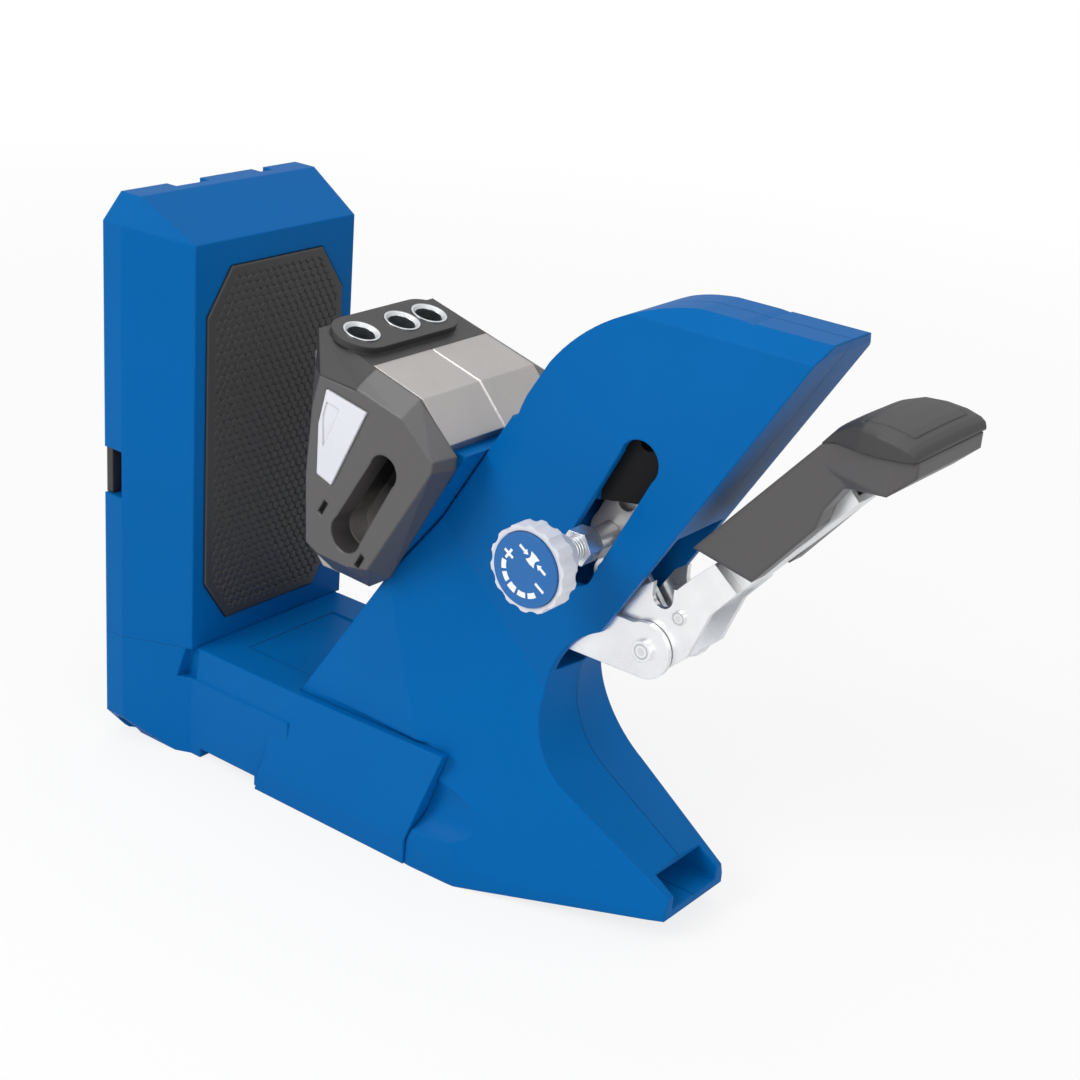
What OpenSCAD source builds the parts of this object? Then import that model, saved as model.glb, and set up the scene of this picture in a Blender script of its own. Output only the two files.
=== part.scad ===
// Bench pocket hole jig: a fixed jaw with a grip pad, a leaning clamp tower with a hand lever,
// and a sliding drill guide with three steel bushings between them.
// X runs from the jaw to the handle, Y to the rear, Z up. The origin lies on the ground,
// under the pad face, on the middle plane.

/* [Base] */
// Height of the floor that the workpiece stands on
floor_z = 43.8; // [38:0.2:50]
// Thickness of the moulded floor
floor_t = 5; // [3:0.5:8]
// Wall thickness of the moulded base
base_wall = 5; // [3:0.5:7]
// Half width of the base at the ground and of the jaw's pad face
base_hw = 40; // [38:0.5:44]
// Half width over the side skirts at their crease
skirt_hw = 42; // [41:0.5:46]
// Half width over the top edge of the side skirts
skirt_top_hw = 37.5; // [37:0.5:40]
// Height of the crease that runs along the skirts
crease_z = 9; // [6:0.5:14]

/* [Fixed jaw] */
// Half width of the jaw behind its flare
jaw_rear_hw = 51.5; // [48:0.5:56]
// Depth from the pad face to the end of the flare
flare_depth = 25.5; // [20:0.5:28]
// Depth from the pad face to the rear face
jaw_depth = 34.5; // [31:0.5:40]
// Height of the pad face's top edge
jaw_front_h = 198; // [170:1:220]
// Height of the jaw's top
jaw_top_h = 211; // [185:1:232]
// Wall thickness of the jaw
jaw_wall = 4; // [3:0.5:6]

/* [Grip pad] */
// Width of the grip pad
pad_w = 68.8; // [56:0.4:74]
// Height of the grip pad
pad_h = 136.4; // [110:0.4:142]
// Height of the pad's lower edge
pad_z = 52; // [48:0.5:56]
// Thickness of the pad
pad_t = 3; // [2:0.25:4]
// How far the pad stands proud of the jaw
pad_proud = 0.8; // [0.4:0.1:1.5]
// Width of the pad's cut corners
pad_cut_w = 11.4; // [6:0.2:16]
// Height of the pad's cut corners
pad_cut_h = 17; // [8:0.5:24]

/* [Clamp tower] */
// Half width of the tower's upper part
tower_hw = 16.2; // [15.6:0.1:18]
// Lean of the tower from the vertical, in degrees
tower_lean = 31.2; // [29:0.1:33]
// Length of the tower's left edge above the floor, measured up
tower_rise = 137; // [132:1:142]
// Wall thickness of the tower's shells
shell_wall = 3; // [2.4:0.2:3.6]
// Width of the adjuster slot in the front shell
slot_w = 15; // [12:0.5:17]
// Length of the adjuster slot between its end centres
slot_len = 46; // [40:1:50]

/* [Drill guide] */
// Half width of the cast guide block
block_hw = 29.5; // [27:0.5:32]
// Depth of each side cover
cover_t = 9.5; // [8:0.5:12]
// Distance from the pad face to the guide's face with the clamp open
jaw_gap = 48; // [46:0.5:50]
// Slope of the drill bushings from the vertical, in degrees
drill_angle = 15; // [13:0.5:17]
// Bore of a drill bushing
bushing_bore = 9.6; // [8:0.1:10.4]
// Outside diameter of a drill bushing
bushing_od = 13; // [12:0.2:14]
// Distance between the front and the middle bushing
bushing_gap_front = 20.6; // [18:0.1:21]
// Distance between the middle and the rear bushing
bushing_gap_rear = 14.3; // [14:0.1:16]

/* [Lever] */
// Thickness of the lever's sheet steel
lever_sheet = 2; // [1.5:0.1:2.5]
// Diameter of the lever's pivot rivet
pivot_d = 6; // [5:0.2:7]
// Width of the handle
handle_w = 30; // [27:0.5:34]
// Length of the handle's grip end
grip_len = 38; // [34:1:42]

/* [Adjuster knob] */
// Outside diameter of the knob's scalloped rim
knob_d = 29; // [26:0.5:32]
// Distance from the tower's middle plane to the knob's face
knob_reach = 50; // [47:0.5:54]
// Diameter of the adjuster shaft
adjuster_d = 8; // [7:0.2:9]

/* [Hidden] */
$fn = 64;

// Clearances shared by mating pieces
fit = 0.02;
running = 0.05;
gap = 0.3;
eps = 0.01;

// Colours as the plastics and metals show them
blue = [0.00, 0.38, 0.68];
charcoal = [0.22, 0.22, 0.22];
cover_grey = [0.42, 0.40, 0.40];
cast_grey = [0.68, 0.66, 0.65];
steel = [0.82, 0.83, 0.84];
pale = [0.88, 0.88, 0.91];

// The tower's left edge and underside, as X at a height
lean = tan(tower_lean);
tower_left_x = 50.5;
tower_span = 80.5;
function left_x(z) = tower_left_x + (z - floor_z) * lean;
function under_x(z) = left_x(z) + tower_span;
tower_top_z = floor_z + tower_rise;
crown_z = tower_top_z + 34;
tip_x = 234;
crown_chamfer = 5;

// Lever pivot, adjuster axis and the linkage between them
pivot = [181.5, 99.4];
knob_axis = [158.6, 131.2];
lever_arm = 10;
lever_arm_angle = 152;
rocker_low = 12;
rocker_low_angle = -86;
rocker_high = 42;
rocker_high_angle = 67.5;
link_len = 18.67;
link_slack = 1.8;
link_eye_r = 5.2;
arm_end = pivot + lever_arm * [cos(lever_arm_angle), sin(lever_arm_angle)];
rocker_foot = knob_axis + rocker_low * [cos(rocker_low_angle), sin(rocker_low_angle)];
rocker_head = knob_axis + rocker_high * [cos(rocker_high_angle), sin(rocker_high_angle)];
pin_d = 4;
rocker_half = 5;
link_t = 2;
cheek_gap = 0.3;

// The guide's sloping top, which stands square to the bushings
slope = tan(drill_angle);
top_x = 74.5;
top_z = 172;
function top_at(x) = top_z + (top_x - x) * slope;
guide_low_z = 92.3;
back_corner = [112.5, 150.4];
bevel_x = 96.5;
bushing_x = 59.6;
bushing_y = [-bushing_gap_front, 0, bushing_gap_rear];
bushing_shift = 0.2;
collar_h = 2.6;
bushing_len = 18;

// Extrudes a side view, drawn as X and Z, from one Y to another
module side(y0, y1) {
    translate([0, y1, 0]) rotate([90, 0, 0]) linear_extrude(y1 - y0) children();
}

// A large block on the far side of the plane through p with outward normal n
module beyond(p, n) {
    translate(p)
        rotate([0, acos(n[2] / norm(n)), atan2(n[1], n[0])])
            translate([-300, -300, 0]) cube([600, 600, 300]);
}

// Repeats a piece on both sides of the middle plane
module both_sides() {
    children();
    mirror([0, 1, 0]) children();
}

// A round bar along Y at a side view point
module bar(p, d, y0, y1) {
    translate([p[0], y1, p[1]]) rotate([90, 0, 0]) cylinder(d = d, h = y1 - y0);
}

// A straight link outline between two side view points, with round ends and a slight waist
waist = 0.96;
module strap(a, b, ra, rb) {
    v = b - a;
    along = atan2(v[1], v[0]);
    translate(a) circle(ra);
    translate(b) circle(rb);
    translate(a) rotate(along)
        polygon([[0, -waist * ra], [norm(v), -waist * rb], [norm(v), waist * rb], [0, waist * ra]]);
}

// Plan of the jaw and of the base under it
module jaw_plan(inset = 0) {
    front = base_hw - inset;
    rear = jaw_rear_hw - inset;
    polygon([[-inset, -front], [-inset, front], [-flare_depth, rear], [-jaw_depth, rear],
        [-jaw_depth, -rear], [-flare_depth, -rear]]);
}

// Outline of the grip pad, seen from the front as Y and Z
module pad_outline(grow = 0) {
    half = pad_w / 2 + grow;
    low = pad_z - grow;
    high = pad_z + pad_h + grow;
    polygon([[-half + pad_cut_w, low], [half - pad_cut_w, low], [half, low + pad_cut_h],
        [half, high - pad_cut_h], [half - pad_cut_w, high], [-half + pad_cut_w, high],
        [-half, high - pad_cut_h], [-half, low + pad_cut_h]]);
}

// Side view of a skirt: it widens upward and its rear edge leans back
skirt_right = [109.6, 121];
skirt_left = [36.3, 43.5];
skirt_t = 3.2;
crease_in = 0.4;
ledge_drop = 12;
module skirt_outline() {
    polygon([[skirt_left[0], 0], [skirt_right[0], 0], [skirt_right[0] - crease_in, crease_z],
        [skirt_right[1], floor_z + 1.4], [tower_left_x, floor_z], [0, floor_z], [0, floor_z - ledge_drop],
        [skirt_left[1], floor_z - ledge_drop]]);
}

// Front view half profile of a skirt as Y and Z, from the ground to its top edge
module skirt_section() {
    inner = skirt_top_hw - skirt_t;
    polygon([[-skirt_hw, 0], [-skirt_hw, crease_z], [-skirt_top_hw, floor_z + 2], [-inner, floor_z + 2],
        [-inner, 0]]);
}

// One moulded side skirt, which grips the foot of the tower
module skirt() {
    intersection() {
        side(-skirt_hw - 1, 0) skirt_outline();
        rotate([90, 0, 90]) linear_extrude(200) skirt_section();
    }
}

foot_left = [5, 34];
foot_lift = 3.7;
wing_z = [-3, 10];

module base_frame() {
    color(blue) difference() {
        union() {
            difference() {
                linear_extrude(floor_z) jaw_plan();
                both_sides() beyond([0, -base_hw, wing_z[0]],
                    [0, -(wing_z[1] - wing_z[0]), -(jaw_rear_hw - base_hw)]);
            }
            translate([-eps, -base_hw, 0])
                cube([tower_left_x - gap + eps, 2 * base_hw, floor_z - ledge_drop]);
            translate([-eps, -skirt_top_hw, 0])
                cube([tower_left_x - gap + eps, 2 * skirt_top_hw, floor_z]);
            both_sides() skirt();
        }
        // Hollow underside with a rib along the middle
        both_sides() translate([-jaw_depth + base_wall, base_wall / 2, -1])
            cube([tower_left_x - gap + jaw_depth - 2 * base_wall,
                skirt_top_hw - 1.5 * base_wall, floor_z - floor_t + 1]);
        // Lifted underside between the feet
        translate([foot_left[0], -jaw_rear_hw, -1])
            cube([foot_left[1] - foot_left[0], 2 * jaw_rear_hw, foot_lift + 1]);
        both_sides() jaw_screw_places() translate([0, 0, -1]) {
            cylinder(d = screw_d + 2 * fit, h = floor_z + 2);
            cylinder(d = screw_head_d + 2 * gap, h = screw_seat_z + 1);
        }
        // V notch where the skirt meets the jaw
        both_sides() side(-jaw_rear_hw, -base_hw + 2.5)
            polygon([[-2, floor_z + 1], [1.5, floor_z + 1], [1.5, floor_z - ledge_drop],
                [-5.5, floor_z - ledge_drop]]);
        // Shallow dished lane in the floor, between two creases
        translate([12.6, -23, floor_z - 0.6]) cube([60, 46, 2]);
    }
}

screw_d = 4.2;
screw_head_d = 8;
screw_seat_z = floor_z - 22;
screw_in = 6;
module jaw_screw_places() {
    translate([-jaw_depth + screw_in, jaw_rear_hw - screw_in, 0]) children();
}

roof_normal = [jaw_top_h - jaw_front_h, 0, flare_depth - 1];
corner_drop = 9.2;
corner_in = 8.3;
window_z = [100, 118];
cover_recess = 3;
cover_hw = jaw_rear_hw - 6;
cover_z = [floor_z + 5, jaw_top_h - 6];

// Outer form of the fixed jaw, with its sloping roof and cut upper corners
module jaw_form() {
    ridge = [-flare_depth + 1, 0, jaw_top_h];
    side_low = [-flare_depth, -jaw_rear_hw, jaw_top_h - corner_drop];
    side_high = [-flare_depth + 1, -jaw_rear_hw + corner_in, jaw_top_h];
    front = [0, -base_hw, jaw_front_h];
    difference() {
        translate([0, 0, floor_z]) linear_extrude(jaw_top_h - floor_z) jaw_plan();
        beyond(ridge, roof_normal);
        both_sides() {
            beyond(front, cross(side_high - front, side_low - front));
            beyond(side_low, [0, -corner_drop, corner_in]);
        }
    }
}

module fixed_jaw() {
    color(blue) difference() {
        jaw_form();
        // Seat for the grip pad
        translate([-pad_t + pad_proud, 0, 0]) rotate([90, 0, 90])
            linear_extrude(pad_t) pad_outline(gap);
        // Storage hollow, open to the rear
        translate([-jaw_depth - 1, -cover_hw + jaw_wall, cover_z[0] + jaw_wall])
            cube([jaw_depth + 1 - pad_t - jaw_wall, 2 * (cover_hw - jaw_wall),
                jaw_front_h - 2 * jaw_wall - cover_z[0]]);
        // Recess for the rear cover
        translate([-jaw_depth - 1, -cover_hw, cover_z[0]])
            cube([cover_recess + 1, 2 * cover_hw, cover_z[1] - cover_z[0]]);
        // Finger windows in the rear edges
        both_sides() translate([-jaw_depth - 1, -jaw_rear_hw - 1, window_z[0]])
            cube([jaw_depth - flare_depth + 1, jaw_rear_hw - cover_hw + 2, window_z[1] - window_z[0]]);
        // Notches in the rear edge of the top
        for (n = [[-22, -6], [20, 26]])
            translate([-jaw_depth - 1, n[0], cover_z[1] - 1])
                cube([6, n[1] - n[0], jaw_top_h - cover_z[1] + 2]);
        both_sides() jaw_screw_places()
            translate([0, 0, floor_z - 1]) cylinder(d = screw_d + 2 * fit, h = 9.4);
    }
}

module jaw_grip_pad() {
    color(charcoal) translate([-pad_t + pad_proud, 0, 0]) rotate([90, 0, 90])
        linear_extrude(pad_t) pad_outline();
}

module jaw_rear_cover() {
    rim = 3;
    color(charcoal) difference() {
        union() {
            translate([-jaw_depth, -cover_hw + gap, cover_z[0] + gap])
                cube([cover_recess, 2 * (cover_hw - gap), cover_z[1] - cover_z[0] - 2 * gap]);
            // Side tabs that fill the finger windows
            both_sides() translate([-jaw_depth, -jaw_rear_hw + 1, window_z[0] + gap])
                cube([cover_recess, jaw_rear_hw - cover_hw, window_z[1] - window_z[0] - 2 * gap]);
        }
        // Sunk panel on the outside
        translate([-jaw_depth - 1, -cover_hw + 4 * rim, cover_z[0] + 4 * rim])
            cube([2, 2 * (cover_hw - 4 * rim), cover_z[1] - cover_z[0] - 8 * rim]);
    }
}

module jaw_screws() {
    color(steel) both_sides() jaw_screw_places() {
        translate([0, 0, screw_seat_z]) cylinder(d = screw_d, h = 30);
        translate([0, 0, screw_seat_z - 3]) cylinder(d = screw_head_d, h = 3);
    }
}

// Concave neck, shoulder and foot of the tower, as side view points
neck_centre = [179.9, 70.4];
neck_r = 32;
neck_bevel = 2;
neck_foot = [170, 39];
foot_flat_x = 131.6;
foot_end = [203.7, 8];
mouth_low_z = 19.6;
mouth_high = [195.7, 23.1];
shoulder_r = 72.4;
shoulder_low = tower_top_z - 15;
tip_drop = 4;
corner_x = left_x(crown_z);
shoulder_t = shoulder_r * tan(45 - tower_lean / 2);

// Side view of the tower: leaning walls, a round shoulder and a concave neck above the foot
module tower_profile() {
    centre = [corner_x + shoulder_t, crown_z - shoulder_r];
    difference() {
        polygon([[tower_left_x, 0], [foot_flat_x, 0], foot_end, [foot_end[0], mouth_low_z], mouth_high,
            neck_foot, [165, 70], [under_x(100), 100], [under_x(crown_z - tip_drop), crown_z - tip_drop],
            [tip_x, crown_z], [corner_x, crown_z], [left_x(floor_z), floor_z]]);
        translate(neck_centre) circle(neck_r);
        difference() {
            polygon([[corner_x - 3, crown_z + 1], [corner_x + shoulder_t + 12, crown_z + 1], centre,
                [left_x(shoulder_low) - 3, shoulder_low]]);
            translate(centre) circle(shoulder_r + 0.4);
        }
    }
}

// Corners of the flare that widens the tower towards the base, taken a little past the side view
flare = [[left_x(195) - 3, 14.5, 195], [47.5, 33.8, floor_z], [47.5, 33.8, -2], [112.2, 41.6, -2],
    [113, 41, 9.8], [foot_flat_x, 40.9, -2], [149.9, 34, 12.5], [190.4, 20, 17.5], [197, 20, 5],
    [206, 16.6, 5], [206, 16.6, 22]];

// Convex body through the corners and their mirror images
module flare_form() {
    corners = concat(flare, [for (p = flare) [p[0], -p[1], p[2]]]);
    difference() {
        hull() polyhedron(corners, [for (i = [0 : len(corners) - 3]) [i, i + 1, i + 2]]);
        // The flare runs out along the neck's edge
        both_sides() beyond([neck_centre[0] - neck_r, -tower_hw, neck_centre[1]], [0.294, -1, 0.3]);
    }
}

cavity_hw = tower_hw - shell_wall;
cavity_low_z = 80;
opening_top_z = 141;
ram_z = [118, 147];
ram_hw = 12;
window_gap = 0.4;
scoop_start = [100, -49.5, 27];
scoop_r = 16;
mouth_depth = 18;
mouth_wall = 3;
boss_places = [[100, 95], [205, 196]];
blind_places = [[75, 22], [165, 30]];
shell_screw_d = 4;
shell_head_d = 7.5;
head_seat_y = 9;

// Hollow of the tower for the carriage, the rocker and the lever
module tower_cavity() {
    wall_x = shell_wall / cos(tower_lean);
    side(-cavity_hw, cavity_hw)
        polygon([[left_x(cavity_low_z) + wall_x, cavity_low_z], [220, cavity_low_z],
            [under_x(opening_top_z) + 20, opening_top_z],
            [under_x(opening_top_z) - wall_x, opening_top_z],
            [under_x(205) - wall_x, 205], [176, 205], [left_x(182) + wall_x, 182]]);
}

// Slight fall of the neck and of the foot's top from the parting line to each side
module neck_bevels() {
    run = mouth_high - neck_foot;
    slope_up = [-run[1], run[0]] / norm(run);
    translate([neck_centre[0], 0, neck_centre[1]]) rotate([90, 0, 0])
        cylinder(r1 = neck_r, r2 = neck_r + 2 * neck_bevel, h = 2 * tower_hw);
    intersection() {
        beyond([mouth_high[0], 0, mouth_high[1]],
            [tower_hw * slope_up[0], -neck_bevel, tower_hw * slope_up[1]]);
        side(-60, 0) polygon([[163, 40], [215, 8], [215, 70], [176, 70]]);
    }
}

// The whole tower before it is parted into two shells
module tower_form() {
    difference() {
        intersection() {
            side(-50, 50) tower_profile();
            union() {
                side(-tower_hw, tower_hw) square([300, 300]);
                flare_form();
            }
        }
        tower_cavity();
        // Chamfered crown
        both_sides() beyond([0, -tower_hw, crown_z - crown_chamfer - 0.5], [0, -5.5, 5.7]);
        // Room for the skirts
        both_sides() side(-50, -skirt_top_hw + skirt_t + gap) offset_skirt();
        // Thumb scoops behind the skirts
        both_sides() translate(scoop_start) rotate([0, 90, 0]) cylinder(r = scoop_r, h = 70);
        both_sides() neck_bevels();
        // Open mouth at the end of the foot
        translate([foot_end[0] - mouth_depth, -tower_hw + mouth_wall, foot_end[1] + mouth_wall])
            cube([mouth_depth + 1, 2 * (tower_hw - mouth_wall), 9.5]);
        translate([mouth_high[0], -tower_hw + mouth_wall, foot_end[1] + mouth_wall])
            cube([mouth_depth, 2 * (tower_hw - mouth_wall), 30]);
        // Window that the carriage's ram slides in
        translate([left_x(ram_z[0]) - 20, -ram_hw - window_gap, ram_z[0] - window_gap])
            cube([60, 2 * (ram_hw + window_gap), ram_z[1] - ram_z[0] + 2 * window_gap]);
    }
    // Screw posts
    for (p = boss_places) bar(p, 10, -cavity_hw - 1, cavity_hw + 1);
}

// Side view of the space that a skirt takes beside the tower
module offset_skirt() {
    polygon([[0, -1], [skirt_right[0] + gap, -1], [skirt_right[0] - crease_in + gap, crease_z],
        [skirt_right[1] + gap, floor_z + 2], [0, floor_z + 2]]);
}

slot_angle = 63.5;
slot_above = slot_len - 10.5;
slot_dir = [cos(slot_angle), sin(slot_angle)];
slot_high = knob_axis + slot_above * slot_dir;
slot_low = slot_high - slot_len * slot_dir;
bearing_d = 14;

module tower_front_shell() {
    color(blue) difference() {
        intersection() {
            tower_form();
            side(-60, 0) square([300, 300]);
        }
        side(-60, 0) strap(slot_low, slot_high, slot_w / 2, slot_w / 2);
        for (p = concat(boss_places, blind_places)) bar(p, shell_screw_d + 2 * fit, -10, 1);
    }
}

module tower_rear_shell() {
    color(blue) difference() {
        union() {
            intersection() {
                tower_form();
                side(0, 60) square([300, 300]);
            }
            bar(knob_axis, bearing_d, rocker_half + link_t + 2 * gap, cavity_hw + 1);
        }
        bar(knob_axis, adjuster_d + 2 * running, 0, cavity_hw + 1);
        for (p = concat(boss_places, blind_places)) {
            bar(p, shell_screw_d + 2 * fit, -1, 60);
            bar(p, shell_head_d + 2 * gap, head_seat_y, 60);
        }
    }
}

module tower_screws() {
    color(steel) for (p = concat(boss_places, blind_places)) {
        bar(p, shell_screw_d, -9, head_seat_y);
        bar(p, shell_head_d, head_seat_y, head_seat_y + 3);
    }
}

cheek_in = cavity_hw - lever_sheet;
lever_out = cheek_in - cheek_gap;
lever_in = lever_out - lever_sheet;
bracket_r = 9.8;
bracket_low_z = pivot[1] - bracket_r;
bracket_x = 150;

// Steel channel fixed in the tower, with an ear on each side for the lever's pivot
module pivot_bracket() {
    color(steel) difference() {
        union() {
            both_sides() side(-cavity_hw, -cheek_in) {
                translate(pivot) circle(bracket_r);
                polygon([[bracket_x, bracket_low_z], [pivot[0], bracket_low_z],
                    pivot + bracket_r * [cos(60), sin(60)], [167, 108], [bracket_x, 108]]);
            }
            translate([bracket_x, -cavity_hw, bracket_low_z])
                cube([14, 2 * cavity_hw, lever_sheet]);
        }
        bar(pivot, pivot_d + 2 * fit, -50, 50);
    }
}

module pivot_rivet() {
    head = 7.6;
    color(steel) {
        bar(pivot, pivot_d, -cavity_hw, cavity_hw);
        both_sides() bar(pivot, head, -cavity_hw - 1.4, -cavity_hw);
    }
}

// Places a piece on the guide's sloping top, at the middle of the bushings
module on_slope() {
    translate([bushing_x, bushing_shift, top_at(bushing_x)]) rotate([0, drill_angle, 0]) children();
}

plate_t = 7;
slide_gap = gap + 0.7;
plate_hw = 26;
plate_z = [98, 150];
fork_in = 6.5;
fork_end = rocker_head[0] + 6.5;
fork_top = rocker_head[1] + 9.2;
fork_low = 143;
yoke_slot = 3.2;

// Blue slide that carries the drill guide on a ram and a forked yoke inside the tower
module guide_carriage() {
    back = slide_gap;
    color(blue) difference() {
        union() {
            side(-plate_hw, plate_hw) polygon([[left_x(plate_z[0]) - plate_t - back, plate_z[0]],
                [left_x(plate_z[0]) - back, plate_z[0]], [left_x(plate_z[1]) - back, plate_z[1]],
                [left_x(plate_z[1]) - plate_t - back, plate_z[1]]]);
            side(-ram_hw, ram_hw) polygon([[left_x(ram_z[0]) - 2 * back, ram_z[0]], [146, ram_z[0]],
                [148, fork_low], [fork_end, fork_low + 6], [fork_end, fork_top],
                [rocker_head[0] - 5, fork_top], [left_x(ram_z[1]) + 37, ram_z[1]],
                [left_x(ram_z[1]) - 2 * back, ram_z[1]]]);
        }
        // Gap of the fork for the rocker
        side(-fork_in, fork_in) polygon([[146.5, 100], [250, 100], [250, 250], [150, 250]]);
        // Upright slots that the rocker's pin moves in
        side(-50, 50) strap(rocker_head + [0, -1], rocker_head + [0, 4], yoke_slot, yoke_slot);
    }
}

// Side view of the cast drill guide, without its cap
module guide_profile() {
    bevel_z = top_at(bevel_x);
    seat = cap_t / cos(drill_angle);
    back = plate_t + slide_gap;
    low = guide_low_z + 0.7;
    polygon([[jaw_gap, 101], [jaw_gap + 7, low], [left_x(low) - back, low],
        [left_x(153) - back, 153], [bevel_x, bevel_z], [top_x, top_z], [top_x, top_z - seat],
        [jaw_gap, top_at(jaw_gap) - seat]]);
}

cap_t = 8;
port_pocket = 9;

module drill_guide_body() {
    color(cast_grey) difference() {
        side(-block_hw, block_hw) guide_profile();
        for (y = bushing_y) on_slope() translate([0, y, -80])
            cylinder(d = bushing_bore + 0.4, h = 100);
        for (y = bushing_y) on_slope() translate([0, y, collar_h - bushing_len])
            cylinder(d = bushing_od + 2 * fit, h = 60);
        // Chip pockets behind the side covers' ports
        both_sides() side(-block_hw - 1, -block_hw + port_pocket) port_outline();
        // Casting groove along the middle of the top
        translate([top_x - 2, -0.4, top_z]) rotate([0, drill_angle, 0])
            translate([0, 0, -0.5]) cube([28, 0.8, 2]);
        translate([bevel_x, -0.4, top_at(bevel_x)]) rotate([0, 47.7, 0])
            translate([-1, 0, -0.5]) cube([22, 0.8, 2]);
    }
}

// Slanted chip port in a side cover
module port_outline() {
    strap([89, 140.5], [73.5, 113.5], 6, 6.8);
}

// Outline of a side cover where it meets the block, and of its smaller flat face
cover_outer = [[jaw_gap + 1, top_at(jaw_gap + 1)], [73.5, 171.7], [95.5, 166.1], back_corner,
    [112.4, 146], [86.4, 98.4], [77.2, guide_low_z], [60, guide_low_z + 1], [51, 97],
    [jaw_gap + 0.5, 104]];
cover_inner = [[59.3, 167], [77.1, 166], [95.8, 161.3], [109.8, 149.7], [109.6, 146.1], [83.8, 103.6],
    [74, 101.8], [60.5, 102.5], [55.3, 105.1], [54.2, 130], [56.2, 155]];

// Drafted form of a front side cover
module cover_form() {
    thin = 0.1;
    hull() {
        side(-block_hw - thin, -block_hw) polygon(cover_outer);
        side(-block_hw - cover_t, -block_hw - cover_t + thin) polygon(cover_inner);
    }
}

// The corner of the covers that belongs to the top cap
module cap_corner() {
    side(-60, 60) polygon([[30, 168.6], [75.6, 165.4], [75.6, 200], [30, 200]]);
}

button_outline = [[62.9, 162.7], [80.9, 159.3], [66.4, 129.7], [59.8, 131.9], [59.8, 149.9]];
button_travel = 3;
button_t = 5;
button_proud = 0.6;
button_centre = [66.5, 148];
spring_d = 7;

module guide_front_cover() {
    face = block_hw + cover_t;
    color(cover_grey) difference() {
        cover_form();
        cap_corner();
        side(-60, 0) port_outline();
        // Pocket of the release button
        side(-60, -face + button_t + button_travel) offset(delta = gap) polygon(button_outline);
        // Clip slots
        side(-60, -face + 3) translate([62.6, 120]) rotate(-30) square([2.2, 6], center = true);
        side(-60, -face + 3) translate([80.3, 105.5]) rotate(-30) square([2.2, 6], center = true);
    }
}

module guide_rear_cover() {
    mirror([0, 1, 0]) guide_front_cover();
}

module guide_top_cap() {
    collar_r = 10.5;
    seat = cap_t / cos(drill_angle);
    color(charcoal) difference() {
        union() {
            side(-block_hw, block_hw) polygon([[jaw_gap, top_at(jaw_gap) - seat + eps],
                [top_x - eps, top_z - seat + eps], [top_x - eps, top_z],
                [jaw_gap + 1, top_at(jaw_gap + 1)]]);
            intersection() {
                both_sides() cover_form();
                cap_corner();
            }
            on_slope() linear_extrude(collar_h) {
                for (y = [bushing_y[0], bushing_y[2]]) translate([0, y]) circle(collar_r);
                translate([-collar_r, bushing_y[0]]) square([2 * collar_r, bushing_y[2] - bushing_y[0]]);
            }
        }
        for (y = bushing_y) on_slope() translate([0, y, -80]) cylinder(d = bushing_od + 2 * fit, h = 100);
    }
}

// Steel drill bushing with a chamfered mouth
module bushing(i) {
    mouth = 1;
    color(steel) on_slope() translate([0, bushing_y[i], collar_h - bushing_len]) difference() {
        cylinder(d = bushing_od, h = bushing_len + 0.4);
        translate([0, 0, -1]) cylinder(d = bushing_bore, h = bushing_len + 3);
        translate([0, 0, bushing_len + 0.4 - mouth])
            cylinder(d1 = bushing_bore, d2 = bushing_bore + 2 * mouth, h = mouth + eps);
    }
}

module front_bushing() { bushing(0); }
module middle_bushing() { bushing(1); }
module rear_bushing() { bushing(2); }

module release_button_front() {
    face = block_hw + cover_t + button_proud;
    color(pale) difference() {
        side(-face, -face + button_t) polygon(button_outline);
        side(-face - 1, -face + 0.6) translate([button_centre[0] - 1.5, button_centre[1] + 3])
            polygon([[-3, -9], [4, 6], [-2, 7.5], [-3.5, 2]]);
    }
}

module release_button_rear() {
    mirror([0, 1, 0]) release_button_front();
}

// Coil of round wire along Y from the origin, swept as one closed tube
module coil(d, wire, length, turns) {
    sides = 8;
    per_turn = 12;
    n = turns * per_turn;
    pitch = (length - wire) / turns;
    mid_r = (d - wire) / 2;
    points = [for (i = [0 : n], k = [0 : sides - 1])
        let (a = 360 * i / per_turn, b = 360 * k / sides, r = mid_r + wire / 2 * cos(b))
        [r * cos(a), wire / 2 + pitch * i / per_turn + wire / 2 * sin(b), r * sin(a)]];
    rings = [for (i = [0 : n - 1], k = [0 : sides - 1])
        let (a = i * sides, b = (i + 1) * sides, next = (k + 1) % sides)
        [a + k, a + next, b + next, b + k]];
    start = [[for (k = [sides - 1 : -1 : 0]) k]];
    finish = [[for (k = [0 : sides - 1]) n * sides + k]];
    polyhedron(points, concat(rings, start, finish), convexity = 6);
}

module front_button_spring() {
    back = -block_hw - cover_t - button_proud + button_t;
    color(steel) translate([button_centre[0], back + eps, button_centre[1]])
        coil(spring_d, 0.7, button_travel + button_proud - 2 * eps, 2);
}

module rear_button_spring() {
    mirror([0, 1, 0]) front_button_spring();
}

// Side view of one lever cheek: pivot boss, inner arm, notch and neck towards the handle
neck_low = [203.2, 118.4];
neck_high = [202.8, 136.2];
notch = [185.2, 119];
notch_r = 4;
neck_back = [212, 129];
tongue_root = [210, 127];
tongue_tip = [246, 170];
module cheek_outline() {
    difference() {
        union() {
            translate(pivot) circle(bracket_r - 0.6);
            strap(pivot, arm_end, 6, 5);
            polygon([arm_end + [-4, 3.5], [176.3, 119.8], [181, 123], [190.1, 123], [195.4, 128.9],
                neck_high, neck_back, neck_low, [196.5, 101.1], pivot + [4, -8.3]]);
        }
        translate(notch) circle(notch_r);
        translate(notch + [-notch_r, 0]) square([2 * notch_r, 12]);
    }
}

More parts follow.
